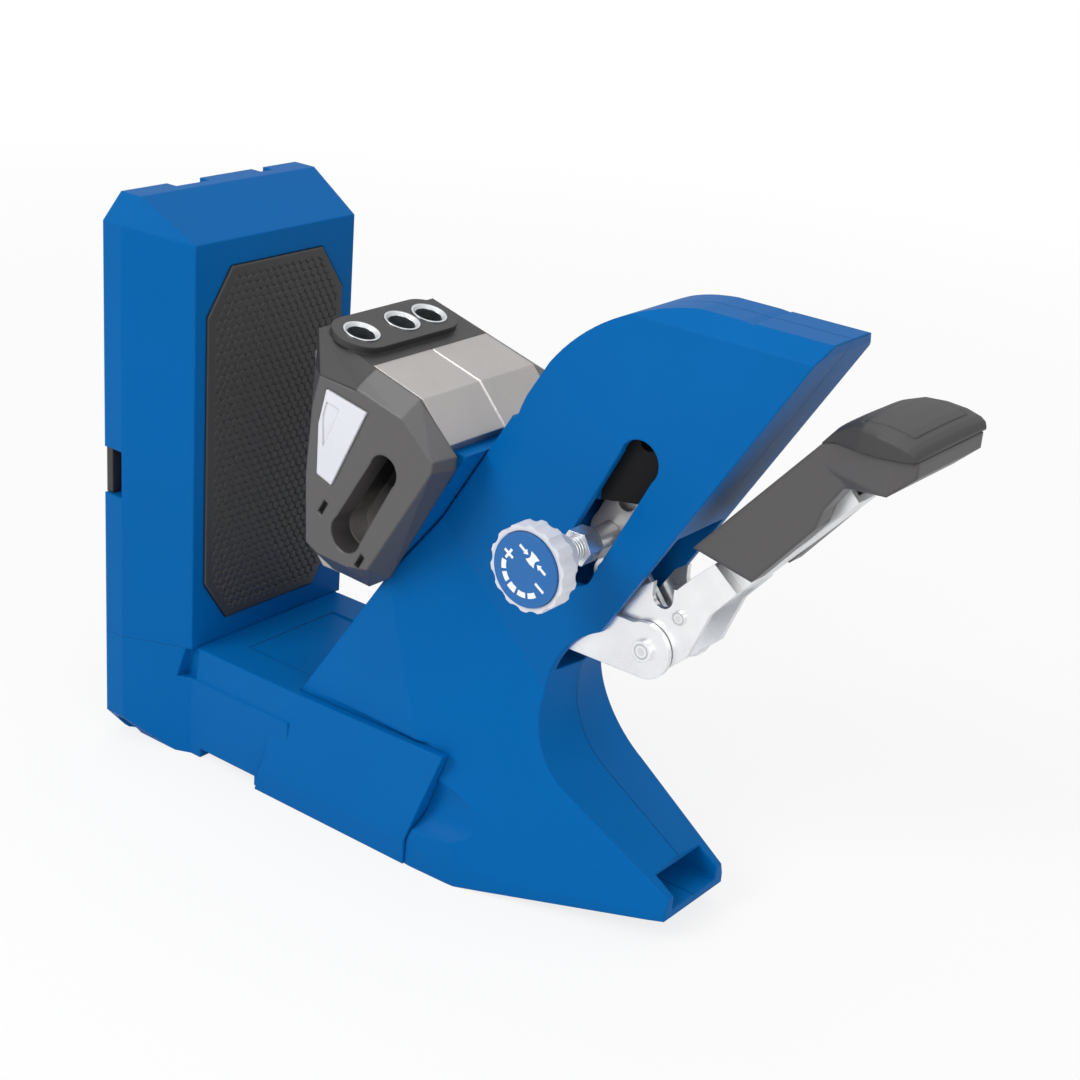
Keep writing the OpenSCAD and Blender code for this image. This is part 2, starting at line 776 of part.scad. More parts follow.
tongue_hw = 7;
module lever_plates() {
    color(steel) difference() {
        union() {
            both_sides() side(-lever_out, -lever_in) cheek_outline();
            // Joggled tongue that runs on inside the handle
            both_sides() side(-lever_out, -tongue_hw + lever_sheet)
                polygon([neck_high - [3.5, 3.5], neck_high, neck_back, [208, 124.5]]);
            both_sides() side(-tongue_hw, -tongue_hw + lever_sheet)
                polygon([neck_high - [2, 2], tongue_tip + [-4, 4], tongue_tip + [1, -1], tongue_root]);
            side(-tongue_hw, tongue_hw)
                polygon([tongue_root, tongue_tip + [1, -1], tongue_tip + [-0.5, 0.5], [208.5, 128.5]]);
        }
        bar(pivot, pivot_d + 2 * running, -50, 50);
        for (p = [arm_end, spacer]) bar(p, pin_d + 2 * fit, -50, 50);
        for (p = rivet_places) bar(p, rivet_d + 2 * fit, -50, 50);
    }
}

rivet_d = 3.4;
rivet_hw = 11;
rivet_places = [[219, 144.5], [236, 162.5]];
shaft_top = [[196.8, 141], [236, 186.3]];
shaft_low = [[218.9, 136.5], [237.9, 159.9], [239.6, 166.3], [245.3, 175.2]];
grip_bend = [240.5, 188.3];
grip_end = [232 + grip_len, 191.5];
grip_hw = handle_w / 2 + 6;

// Height of the seam between the handle's body and its soft top
seam_rise = (grip_end[1] - grip_bend[1]) / (grip_end[0] - grip_bend[0]);
function seam_z(x) = grip_bend[1] + (x - grip_bend[0]) * seam_rise;

// A thin slice across the handle from a low edge up to the seam, or from the seam to a top edge
module grip_slice(x, half, low, high) {
    side(-half, half) polygon([[x - 1, low], [x, low], [x, high], [x - 1, high - seam_rise]]);
}

// Moulded handle: a shaft over the lever's tongue and a broad end under the palm
module handle_body() {
    color(cover_grey) difference() {
        union() {
            side(-handle_w / 2, handle_w / 2)
                polygon(concat(shaft_top, [grip_bend, [258, 183], [252, 177]],
                    [for (i = [3 : -1 : 0]) shaft_low[i]]));
            hull() {
                side(-handle_w / 2, handle_w / 2)
                    polygon([[238, 180], grip_bend, [250, 181], [247, 175.6]]);
                grip_slice(grip_end[0] - 8, grip_hw, 179, seam_z(grip_end[0] - 8));
                grip_slice(grip_end[0], grip_hw - 1, 186.5, grip_end[1]);
            }
        }
        // Channel for the lever's tongue
        side(-tongue_hw - gap, tongue_hw + gap) polygon([[190, 125], neck_high - [1, -1],
            tongue_tip + [-4, 4.5], tongue_tip + [3, 2], [252, 160], [222, 130]]);
        for (p = rivet_places) bar(p, rivet_d + 2 * fit, -rivet_hw, rivet_hw);
    }
}

// Soft top of the handle, thickest under the palm
module handle_grip() {
    color(charcoal) difference() {
        hull() {
            side(-handle_w / 2, handle_w / 2) polygon([shaft_top[1], grip_bend, [238.5, 190]]);
            side(-handle_w / 2 - 1.5, handle_w / 2 + 1.5)
                polygon([[246, 190], [246, 196], [251, 198.7], [253, 190]]);
            grip_slice(grip_end[0] - 8, grip_hw, 189, 195);
            grip_slice(grip_end[0] - 6, grip_hw - 4, 189, 198.5);
            grip_slice(grip_end[0], grip_hw - 1, 190, 195);
        }
        // Seam with the moulded body
        side(-60, 60) polygon([[200, 150], shaft_top[1] + [0, eps], grip_bend + [0, eps],
            [300, seam_z(300) + eps], [300, 120]]);
    }
}

module handle_rivets() {
    color(steel) for (p = rivet_places) bar(p, rivet_d, -rivet_hw, rivet_hw);
}

// Spacer rivet across the lever's cheeks
spacer = [192.3, 114];
module lever_rivet() {
    color(steel) {
        bar(spacer, pin_d, -lever_out, lever_out);
        both_sides() bar(spacer, pin_d + 0.8, -lever_out - 0.8, -lever_out);
        bar(spacer, pin_d + 2, -lever_in, lever_in);
    }
}

module link_pin() {
    color(steel) bar(arm_end, pin_d, -lever_out, lever_out);
}

link_in = rocker_half + gap;
link_eye = arm_end + link_len / norm(rocker_foot - arm_end) * (rocker_foot - arm_end);

// Pair of link plates; the eye at the rocker's end has play for the closed linkage
module drive_link() {
    color(steel) difference() {
        both_sides() side(-link_in - link_t, -link_in) strap(arm_end, link_eye, 4.5, link_eye_r);
        bar(arm_end, pin_d + 2 * running, -50, 50);
        bar(link_eye, pin_d + 2 * link_slack, -50, 50);
    }
}

rocker_boss_r = 8;
module rocker() {
    color(cast_grey) difference() {
        union() {
            side(-rocker_half, rocker_half) strap(knob_axis, rocker_head, rocker_boss_r, 5);
            side(-rocker_half, rocker_half) strap(knob_axis, rocker_foot, rocker_boss_r, 4.5);
        }
        bar(knob_axis, adjuster_d + 2 * running, -50, 50);
        bar(rocker_head, pin_d + 2 * fit, -50, 50);
        bar(rocker_foot, pin_d + 2 * fit, -50, 50);
        // Lightening pockets between the ribs
        both_sides() side(-rocker_half - 1, -rocker_half + 2.5)
            strap(knob_axis + 14 * head_dir, knob_axis + 32 * head_dir, 3.6, 2.6);
    }
}
head_dir = [cos(rocker_high_angle), sin(rocker_high_angle)];

module rocker_pins() {
    color(steel) {
        bar(rocker_head, pin_d, -ram_hw + 0.5, ram_hw - 0.5);
        bar(rocker_foot, pin_d, -link_in - link_t, link_in + link_t);
    }
}

nut_y = [-24, -16.6];
hub_y = -32;
module adjuster_shaft() {
    color(steel) difference() {
        bar(knob_axis, adjuster_d, -knob_reach + 4, cavity_hw - 1);
        bar(knob_axis, 3, -knob_reach, -knob_reach + 6);
    }
}

module adjuster_nut() {
    color(steel) difference() {
        translate([knob_axis[0], nut_y[1], knob_axis[1]]) rotate([90, 0, 0])
            cylinder(d = 12.4, h = nut_y[1] - nut_y[0], $fn = 6);
        bar(knob_axis, adjuster_d + 2 * fit, -50, 50);
    }
}

scallops = 14;
rim_t = 7;
module adjuster_knob() {
    place = [knob_axis[0], -knob_reach + 1, knob_axis[1]];
    color(pale) difference() {
        union() {
            translate(place) rotate([-90, 0, 0]) linear_extrude(rim_t) difference() {
                circle(d = knob_d);
                for (i = [0 : scallops - 1]) rotate(i * 360 / scallops)
                    translate([knob_d / 2 + 3.2, 0]) circle(4);
            }
            translate(place + [0, rim_t, 0]) rotate([-90, 0, 0])
                cylinder(d1 = knob_d - 5, d2 = 15, h = hub_y - place[1] - rim_t);
        }
        bar(knob_axis, adjuster_d + 2 * fit, -knob_reach + 4, 0);
        bar(knob_axis, knob_d - 4, -knob_reach, -knob_reach + 2);
    }
}

// Dial face in the knob's front recess
module knob_dial() {
    color(blue) bar(knob_axis, knob_d - 4.4, -knob_reach, -knob_reach + 2);
}

base_frame();
fixed_jaw();
jaw_grip_pad();
jaw_rear_cover();
jaw_screws();
tower_front_shell();
tower_rear_shell();
tower_screws();
pivot_bracket();
pivot_rivet();
guide_carriage();
drill_guide_body();
guide_top_cap();
guide_front_cover();
guide_rear_cover();
front_bushing();
middle_bushing();
rear_bushing();
release_button_front();
release_button_rear();
front_button_spring();
rear_button_spring();
lever_plates();
handle_body();
handle_grip();
handle_rivets();
lever_rivet();
link_pin();
drive_link();
rocker();
rocker_pins();
adjuster_shaft();
adjuster_nut();
adjuster_knob();
knob_dial();
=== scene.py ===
"""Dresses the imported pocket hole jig: finishes for its solids, a honeycomb grip pad, a soft
handle top, the print on the adjuster's dial, and a plain studio stage."""

import math

import bpy
import numpy as np
from mathutils import Matrix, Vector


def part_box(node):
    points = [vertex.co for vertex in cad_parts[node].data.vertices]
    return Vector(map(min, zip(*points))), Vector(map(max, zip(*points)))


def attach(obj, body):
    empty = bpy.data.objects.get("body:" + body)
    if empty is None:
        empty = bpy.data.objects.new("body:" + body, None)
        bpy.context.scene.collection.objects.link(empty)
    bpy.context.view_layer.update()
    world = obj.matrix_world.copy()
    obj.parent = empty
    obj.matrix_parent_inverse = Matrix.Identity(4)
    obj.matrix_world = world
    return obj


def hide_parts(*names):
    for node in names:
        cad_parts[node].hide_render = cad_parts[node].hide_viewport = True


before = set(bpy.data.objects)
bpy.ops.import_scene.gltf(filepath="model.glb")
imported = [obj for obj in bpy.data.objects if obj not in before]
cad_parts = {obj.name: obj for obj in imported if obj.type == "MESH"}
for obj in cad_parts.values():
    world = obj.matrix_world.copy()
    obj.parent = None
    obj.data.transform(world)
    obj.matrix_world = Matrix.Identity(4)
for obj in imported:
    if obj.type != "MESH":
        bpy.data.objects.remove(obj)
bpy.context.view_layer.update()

bl_info = {
    "name": "Pocket hole jig",
    "version": (1, 0, 0),
    "blender": (4, 2, 0),
    "location": "View3D > Sidebar > Jig",
    "description": "Finishes, soft pieces, print and stage of a bench pocket hole jig",
    "category": "Object",
}

MM = 0.001
BUSHINGS = ["front_bushing", "middle_bushing", "rear_bushing"]
DRILL_LEAN = math.radians(15)

# Places taken from the frame: the pad, the dial, and the end of the handle's seam
PAD_LOW, PAD_HIGH = (np.array(c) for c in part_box("jaw_grip_pad"))
DIAL_LOW, DIAL_HIGH = (np.array(c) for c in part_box("knob_dial"))
DIAL_MIDDLE = (DIAL_LOW + DIAL_HIGH) / 2
SEAM_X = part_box("handle_grip")[1][0]
SEAM_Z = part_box("handle_body")[1][2]

# Reflection of the blue plastic, which is nearly dull
BLUE_SHINE = 0.06
# X inside the tower from which the slide is painted black, as painted shade for the deep slot
SLIDE_SHADE_X = 0.1585
# Chip port of the guide, inside which shade is painted: X and Z of its lower end, length, half width,
# lean in degrees
PORT = (0.0735, 0.1135, 0.0311, 0.0078, 29.9)
# Half width of the lines along the middle plane, on the tower's shells and on the cast guide
SHELL_SEAM = 0.00016
# On the cast guide that line is coloured bright, a painted highlight
CAST_HIGHLIGHT_LINE = 0.00055
# Thread on the adjuster's shaft: its first and last Y, and its pitch
THREAD = (-0.034, -0.0235, 0.00125)
# Index ticks on the guide's cap: length and half width
TICK = (0.0042, 0.0006)
# Groove in a rivet's head, as a share of the head's height
RIVET_GROOVE = 0.32

# Rows and columns of the pad's face
PAD_GRID = (360, 190)
# Points along and around the soft handle top
TOP_GRID = (64, 72)
# Stations along the soft handle top, in mm from the end of its seam: X, floor, top, half width
STATIONS = np.array([
    (-33.8, -5.10, -4.3, 14.8),
    (-31.5, -4.05, -1.3, 15.2),
    (-29.5, -3.15, 1.1, 15.9),
    (-24.0, -2.55, 4.9, 18.4),
    (-19.0, -2.00, 6.6, 20.8),
    (-13.0, -1.35, 6.6, 22.4),
    (-7.0, -0.70, 5.8, 23.0),
    (-2.5, -0.20, 4.3, 23.0),
    (-0.8, 0.10, 3.2, 22.4),
    (0.2, 0.50, 1.8, 21.2),
])
# Panel on the soft handle top: middle X, half length, half width, width of its groove
PANEL = (SEAM_X - 0.0125, 0.0085, 0.0165, 0.0006)

# Place and size of each lamp in metres, and the point that they face
LAMPS = {
    "key": ((-0.35, -1.15, 1.0), 0.7),
    "fill": ((1.05, -0.55, 0.55), 0.9),
    "top": ((0.0, 0.15, 1.3), 0.9),
}
LAMP_TARGET = (0.11, 0.0, 0.09)
# The photograph's camera: its place in metres, then azimuth, elevation and roll in degrees
CAMERA_PLACE = (0.494213, -0.504456, 0.376445)
CAMERA_TURN = (36.047, 22.557, 4.728)
SENSOR_MM = 36.0
# Half width of the floor, and how far it lies under the feet
FLOOR_HALF = 6.0
FLOOR_DROP = 0.0002
# Level of the sky's light at the horizon and overhead
HORIZON, OVERHEAD = 0.40, 1.35


def colour_prop(name, text, default):
    """A colour that the user can change."""
    return bpy.props.FloatVectorProperty(
        name=name, description=text, subtype="COLOR", size=3, min=0, max=1, default=default)


def length_prop(name, text, default):
    """A length that the user can change, in metres."""
    return bpy.props.FloatProperty(
        name=name, description=text, subtype="DISTANCE", unit="LENGTH", precision=5, default=default)


def power_prop(name, text, default):
    """A lamp's power that the user can change, in watts."""
    return bpy.props.FloatProperty(name=name, description=text, unit="POWER", default=default)


class JigColours(bpy.types.PropertyGroup):
    """Colours of the jig's plastics and metals."""
    blue: colour_prop("Blue", "Moulded body plastic", (0.0, 0.118, 0.380))
    black: colour_prop("Black", "Guide cap and rear cover", (0.026, 0.024, 0.024))
    grey: colour_prop("Dark grey", "Guide covers and handle body", (0.060, 0.056, 0.058))
    rubber: colour_prop("Rubber", "Grip pad and soft handle top", (0.036, 0.035, 0.036))
    pale: colour_prop("Pale grey", "Release buttons and knob rim", (0.70, 0.71, 0.76))
    alloy: colour_prop("Cast alloy", "Drill guide and rocker", (0.46, 0.44, 0.43))
    zinc: colour_prop("Zinc", "Plated lever and fasteners", (0.86, 0.87, 0.88))
    steel: colour_prop("Tool steel", "Drill bushings and springs", (0.66, 0.69, 0.71))
    print_white: colour_prop("Print", "Print on the dial", (0.86, 0.88, 0.92))


class JigSizes(bpy.types.PropertyGroup):
    """Sizes of the pieces that this file adds."""
    cell: length_prop("Pad cell", "Distance between the pad's honeycomb cells", 0.0034)
    groove: length_prop("Pad groove", "Depth of the grooves between the cells", 0.0005)
    border: length_prop("Pad border", "Width of the plain border round the pad", 0.0030)
    cut_width: length_prop("Pad corner width", "Width of the pad's cut corners", 0.0114)
    cut_height: length_prop("Pad corner height", "Height of the pad's cut corners", 0.0170)
    print_height: length_prop("Print height", "Height of the dial's print", 0.00012)
    edge: length_prop("Edge radius", "Radius of the moulded edges", 0.0007)


class JigStage(bpy.types.PropertyGroup):
    """Camera and light."""
    lens: bpy.props.FloatProperty(name="Lens", description="Focal length in mm", default=66.25)
    key: power_prop("Key light", "Power of the key light", 10.5)
    fill: power_prop("Fill light", "Power of the fill light", 4.2)
    top: power_prop("Top light", "Power of the top light", 3.0)
    sky: bpy.props.FloatProperty(name="Sky", description="Strength of the even light", default=0.45)


class Value:
    """A number in a shader tree. Arithmetic on it adds Math nodes."""

    def __init__(self, finish, socket):
        self.finish = finish
        self.socket = socket

    def math(self, operation, *values):
        return self.finish.node("Math", {"operation": operation}, dict(enumerate(values)))

    def __add__(self, other):
        return self.math("ADD", self, other)

    def __sub__(self, other):
        return self.math("SUBTRACT", self, other)

    def __rsub__(self, other):
        return self.math("SUBTRACT", other, self)

    def __mul__(self, other):
        return self.math("MULTIPLY", self, other)

    def __truediv__(self, other):
        return self.math("DIVIDE", self, other)

    def __lt__(self, other):
        return self.math("LESS_THAN", self, other)

    def __gt__(self, other):
        return self.math("GREATER_THAN", self, other)

    def __abs__(self):
        return self.math("ABSOLUTE", self)

    def sine(self):
        return self.math("SINE", self)

    def root(self):
        return self.math("SQRT", self)

    def smooth_max(self, other, blend):
        """The larger of two values, eased where they are close."""
        return self.math("SMOOTH_MAX", self, other, blend)

    def clamped(self):
        """The value, held between 0 and 1."""
        return self.math("MINIMUM", self.math("MAXIMUM", self, 0.0), 1.0)

    __radd__ = __add__
    __rmul__ = __mul__


class Finish:
    """A material under construction, with one Principled shader."""

    def __init__(self, name):
        self.material = bpy.data.materials.new(name)
        self.material.use_nodes = True
        self.tree = self.material.node_tree
        self.tree.nodes.clear()
        self.shader = self.tree.nodes.new("ShaderNodeBsdfPrincipled")
        self.output = self.tree.nodes.new("ShaderNodeOutputMaterial")
        self.tree.links.new(self.shader.outputs[0], self.output.inputs["Surface"])

    def put(self, socket, value):
        """Links a value to a socket, or sets a plain number or colour on it."""
        if isinstance(value, Value):
            self.tree.links.new(value.socket, socket)
        elif hasattr(value, "__len__") and len(value) == 3 and socket.type == "RGBA":
            socket.default_value = (*value, 1)
        else:
            socket.default_value = value

    def node(self, kind, settings=None, inputs=None, output=0):
        """Adds a node of a type, sets its settings, then its sockets, and gives one output."""
        made = self.tree.nodes.new("ShaderNode" + kind)
        for key, value in (settings or {}).items():
            setattr(made, key, value)
        for key, value in (inputs or {}).items():
            self.put(made.inputs[key], value)
        return Value(self, made.outputs[output])

    def place(self):
        """Object coordinates, and their X, Y and Z."""
        point = self.node("TexCoord", output="Object")
        split = [self.node("SeparateXYZ", None, {0: point}, axis) for axis in "XYZ"]
        return point, split

    def noise(self, point, scale, detail=2.0):
        return self.node("TexNoise", None, {"Vector": point, "Scale": scale, "Detail": detail}, 0)

    def mix(self, factor, first, second):
        """A colour between two colours."""
        return self.node("Mix", {"data_type": "RGBA"}, {"Factor": factor, 6: first, 7: second}, 2)

    def bump(self, height, distance, strength, normal):
        """A normal, turned by the slope of a height field."""
        return self.node("Bump", None, {
            "Height": height, "Distance": distance, "Strength": strength, "Normal": normal})

    def soft_edges(self, radius):
        """Surface normal rounded over the edges."""
        return self.node("Bevel", {"samples": 4}, {"Radius": radius})

    def edge_amount(self, soft, gain=2.5):
        """How far a softened normal turns away from the face's own: 0 on faces, up to 1 on edges."""
        face = self.node("NewGeometry", output="Normal")
        along = self.node("VectorMath", {"operation": "DOT_PRODUCT"}, {0: soft, 1: face}, "Value")
        return (gain * (1 - along)).clamped()

    def set(self, **sockets):
        """Puts values on the shader's sockets, whose names have underscores for spaces."""
        for key, value in sockets.items():
            self.put(self.shader.inputs[key.replace("_", " ")], value)


def shade(colour, factor):
    """A colour made darker or lighter."""
    return tuple(min(1.0, c * factor) for c in colour)


def moulded(name, colour, roughness, grain, edge, seam=0.0, shine=0.5, marks=None, painted_shade_from=None):
    """Moulded plastic: a fine spark-eroded grain, soft edges painted lighter as a painted highlight, and
    a slight unevenness of tone.
    With a seam width, a darker line follows the middle plane. Marks are raised ticks near an
    edge, given as (edge x, length, half width, their places in Y). Past an X given as the last
    argument, the plastic is painted black: painted shade for the deep slot inside the tower."""
    f = Finish(name)
    point, (x, y, _) = f.place()
    broad = f.noise(point, scale=14.0)
    fine = f.noise(point, scale=2600.0, detail=1.0)
    tone = f.mix(broad, shade(colour, 0.90), shade(colour, 1.10))
    tone = f.mix(fine * 0.25, tone, shade(colour, 0.80))
    soft = f.soft_edges(edge)
    # painted highlight: the colour is lightened along every edge, where the softened normal turns away
    tone = f.mix(f.edge_amount(soft), tone, shade(colour, 1.35))
    normal = f.bump(fine, distance=0.00006, strength=grain, normal=soft)
    if seam:
        line = abs(y) < seam
        tone = f.mix(line * 0.55, tone, shade(colour, 0.30))
    if marks:
        edge_x, length, half, places = marks
        tick = sum((abs(y - place) < half for place in places), 0.0) * (x < edge_x + length)
        normal = f.bump(tick, distance=0.0004, strength=1.0, normal=normal)
        tone = f.mix(tick * 0.5, tone, shade(colour, 2.2))
    # painted shade: past that X the plastic is painted near black
    if painted_shade_from:
        black = (0.012, 0.012, 0.013)
        tone = f.mix(x > painted_shade_from, tone, black)
    uneven = 0.10 * (broad - 0.5) + 0.08 * (fine - 0.5)
    f.set(Base_Color=tone, Roughness=roughness + uneven, Normal=normal, Specular_IOR_Level=shine)
    return f.material


def cast_metal(name, colour, edge, line=0.0, port=None):
    """Die cast alloy with a sandy skin. With a line width, the parting line along the middle
    plane is coloured bright as a painted highlight. With a port, given as (x, z, length, half width,
    lean in degrees), the wall seen through that opening is painted darker upwards from its lower end, as
    painted shade."""
    f = Finish(name)
    point, (x, y, z) = f.place()
    sand = f.noise(point, scale=1500.0)
    cloud = f.noise(point, scale=45.0)
    tone = f.mix(cloud, shade(colour, 0.86), shade(colour, 1.12))
    tone = f.mix(sand * 0.4, tone, shade(colour, 0.70))
    # painted highlight: a thin band on the middle plane is coloured bright
    if line:
        tone = f.mix(abs(y) < line, tone, shade(colour, 2.1))
    # painted shade: the wall inside the chip port is painted near black, deepest towards its upper end
    if port:
        port_x, port_z, length, half, lean = port
        run, rise = math.sin(math.radians(lean)), math.cos(math.radians(lean))
        along = run * (x - port_x) + rise * (z - port_z)
        across = rise * (x - port_x) - run * (z - port_z)
        window = (abs(across) < half) * (along > -half) * (along < length + half)
        depth = (0.25 + along / (0.6 * length)).clamped()
        black = (0.008, 0.008, 0.008)
        tone = f.mix(window * depth * 0.95, tone, black)
    normal = f.bump(sand, distance=0.00012, strength=0.35, normal=f.soft_edges(edge))
    f.set(Base_Color=tone, Metallic=0.75, Roughness=0.42 + 0.14 * (sand - 0.5), Normal=normal)
    return f.material


def plated(name, colour, roughness, edge, head=None):
    """Zinc plated sheet: faint cloudy spangle over a fine rolling grain. With a head, given as
    (x, z, radius), a turned groove runs round that axis and a dimple lies inside it, both painted darker
    as painted shade."""
    f = Finish(name)
    point, (x, _, z) = f.place()
    cloud = f.noise(point, scale=90.0, detail=3.0)
    grain = f.noise(point, scale=1100.0, detail=1.0)
    tone = f.mix(cloud, shade(colour, 0.88), shade(colour, 1.12))
    normal = f.bump(grain, distance=0.00004, strength=0.2, normal=f.soft_edges(edge))
    if head:
        head_x, head_z, radius = head
        off_x, off_z = x - head_x, z - head_z
        away = (off_x * off_x + off_z * off_z).root()
        groove = abs(away - radius) < 0.0003
        dimple = away < 0.55 * radius
        # painted shade in the groove and the dimple
        tone = f.mix(groove * 0.55 + dimple * 0.25, tone, shade(colour, 0.35))
        normal = f.bump(1 - groove - 0.6 * dimple, distance=0.0003, strength=0.8, normal=normal)
    f.set(Base_Color=tone, Metallic=0.9, Roughness=roughness + 0.16 * (cloud - 0.5), Normal=normal)
    return f.material


def turned(name, colour, edge):
    """Ground tool steel with fine rings square to the leaning axis of the bushings."""
    f = Finish(name)
    point, (x, _, z) = f.place()
    along = math.sin(DRILL_LEAN) * x + math.cos(DRILL_LEAN) * z
    rings = (9000.0 * along).sine()
    cloud = f.noise(point, scale=160.0)
    tone = f.mix(cloud, shade(colour, 0.85), shade(colour, 1.15))
    normal = f.bump(rings, distance=0.00002, strength=0.12, normal=f.soft_edges(edge))
    f.set(Base_Color=tone, Metallic=1.0, Roughness=0.24 + 0.10 * (cloud - 0.5), Normal=normal)
    return f.material


def threaded(name, colour, edge, first, last, pitch):
    """Plated shaft along Y with a thread between two places, its valleys painted darker as painted
    shade.
    """
    f = Finish(name)
    point, (_, y, _) = f.place()
    inside = (y > first) * (y < last)
    wave = ((2 * math.pi / pitch) * y).sine() * inside
    cloud = f.noise(point, scale=120.0)
    tone = f.mix(cloud, shade(colour, 0.85), shade(colour, 1.1))
    # painted shade in the thread's valleys
    tone = f.mix((0.5 - 0.5 * wave) * inside * 0.6, tone, shade(colour, 0.45))
    normal = f.bump(wave, distance=0.0002, strength=0.8, normal=f.soft_edges(edge))
    f.set(Base_Color=tone, Metallic=0.9, Roughness=0.30 + 0.1 * (cloud - 0.5), Normal=normal)
    return f.material


def soft_rubber(name, colour, edge, panel=None):
    """Soft rubber with a dull fine skin. With a panel, a groove runs round a rectangle in
    plan, given as (middle x, half length, half width, groove width), and is painted darker as painted
    shade."""
    f = Finish(name)
    point, (x, y, _) = f.place()
    broad = f.noise(point, scale=30.0)
    fine = f.noise(point, scale=2200.0, detail=1.0)
    tone = f.mix(broad, shade(colour, 0.88), shade(colour, 1.14))
    normal = f.bump(fine, distance=0.00005, strength=0.25, normal=f.soft_edges(edge))
    if panel:
        middle, half_x, half_y, width = panel
        past = (abs(x - middle) - half_x).smooth_max(abs(y) - half_y, 0.002)
        groove = 1 - (abs(past) / width).clamped()
        # painted shade in the panel's groove
        tone = f.mix(groove * 0.6, tone, shade(colour, 0.35))
        normal = f.bump(1 - groove, distance=0.0005, strength=0.9, normal=normal)
    uneven = 0.12 * (broad - 0.5) + 0.1 * (fine - 0.5)
    f.set(Base_Color=tone, Roughness=0.50 + uneven, Normal=normal)
    return f.material


def printed(name, colour):
    """Flat print with a slightly uneven ink."""
    f = Finish(name)
    point, _ = f.place()
    ink = f.noise(point, scale=900.0)
    f.set(Base_Color=f.mix(ink, shade(colour, 0.94), colour), Roughness=0.45 + 0.08 * (ink - 0.5))
    return f.material


def new_piece(name, points, faces, material, body, smooth=False):
    """A mesh object at the origin, its place in its mesh, riding on a body."""
    mesh = bpy.data.meshes.new(name)
    mesh.from_pydata(np.asarray(points).reshape(-1, 3).tolist(), [], faces)
    mesh.update()
    mesh.polygons.foreach_set("use_smooth", np.full(len(mesh.polygons), smooth))
    piece = bpy.data.objects.new(name, mesh)
    bpy.context.scene.collection.objects.link(piece)
    mesh.materials.append(material)
    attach(piece, body)
    return piece


def grid_faces(rows, columns, closed=False):
    """Quads of a grid of points, row after row. A closed grid joins its last column to its first."""
    row = columns * np.arange(rows - 1)[:, None]
    column = np.arange(columns if closed else columns - 1)[None, :]
    after = (column + 1) % columns
    corners = [row + column, row + after, row + columns + after, row + columns + column]
    return np.stack(corners, -1).reshape(-1, 4)


def give(nodes, material):
    """Puts a finish on solids of the frame."""
    for name in nodes:
        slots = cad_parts[name].data.materials
        slots.clear()
        slots.append(material)


class JIG_OT_finishes(bpy.types.Operator):
    """Gives every solid of the frame its finish"""
    bl_idname = "jig.finishes"
    bl_label = "Finishes"

    def execute(self, context):
        colours = context.scene.jig_colours
        edge = context.scene.jig_sizes.edge
        self.plastics(colours, edge)
        self.metals(colours, edge)
        return {"FINISHED"}

    def plastics(self, c, edge):
        """Blue body, black and grey covers, pale buttons and knob, and rubber."""
        wide = 1.8 * edge
        give(["base_frame", "fixed_jaw"],
             moulded("blue moulding", c.blue, 0.42, 0.30, wide, shine=BLUE_SHINE))
        give(["tower_front_shell", "tower_rear_shell"],
             moulded("blue shell", c.blue, 0.40, 0.30, wide, seam=SHELL_SEAM, shine=BLUE_SHINE))
        # The slide's part inside the tower is painted black as painted shade
        give(["guide_carriage"],
             moulded("blue slide", c.blue, 0.40, 0.2, edge, shine=BLUE_SHINE, painted_shade_from=SLIDE_SHADE_X))
        give(["jaw_rear_cover"], moulded("black cover", c.black, 0.5, 0.4, edge))
        cap_low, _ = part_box("guide_top_cap")
        bores = [sum(corner[1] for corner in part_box(name)) / 2 for name in BUSHINGS]
        give(["guide_top_cap"],
             moulded("black cap", c.black, 0.45, 0.4, edge, marks=(cap_low[0], *TICK, bores)))
        give(["guide_front_cover", "guide_rear_cover"],
             moulded("grey cover", c.grey, 0.36, 0.5, wide, shine=0.9))
        give(["handle_body"], moulded("grey handle", c.grey, 0.38, 0.5, 3 * edge, shine=0.7))
        give(["release_button_front", "release_button_rear"],
             moulded("pale button", c.pale, 0.4, 0.1, 1.5 * edge))
        give(["adjuster_knob"], moulded("pale knob", c.pale, 0.38, 0.1, edge))
        give(["knob_dial"], moulded("blue dial", c.blue, 0.35, 0.05, edge / 3))
        give(["jaw_grip_pad"], soft_rubber("pad rubber", c.rubber, edge))
        give(["handle_grip"], soft_rubber("handle rubber", c.rubber, edge))

    def metals(self, c, edge):
        """Cast guide and rocker, plated lever and fasteners, steel bushings and springs."""
        # The cast guide gets a painted highlight on its parting line and painted shade inside its chip
        # port
        give(["drill_guide_body"], cast_metal("cast guide", c.alloy, edge, CAST_HIGHLIGHT_LINE, PORT))
        give(["rocker"], cast_metal("cast rocker", c.alloy, edge))
        give(["lever_plates", "pivot_bracket", "drive_link"],
             plated("plated sheet", c.zinc, 0.30, edge / 2))
        for name in ("pivot_rivet", "lever_rivet"):
            low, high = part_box(name)
            radius = RIVET_GROOVE * (high[2] - low[2])
            head = ((low[0] + high[0]) / 2, (low[2] + high[2]) / 2, radius)
            give([name], plated("plated " + name, c.zinc, 0.26, edge / 2, head))
        give(["link_pin", "rocker_pins", "handle_rivets", "jaw_screws", "tower_screws", "adjuster_nut"],
             plated("plated fastener", c.zinc, 0.26, edge / 2))
        give(["front_button_spring", "rear_button_spring"],
             plated("spring wire", c.steel, 0.28, edge / 5))
        give(BUSHINGS, turned("bushing steel", c.steel, edge / 2))
        give(["adjuster_shaft"], threaded("threaded shaft", c.zinc, edge / 3, *THREAD))


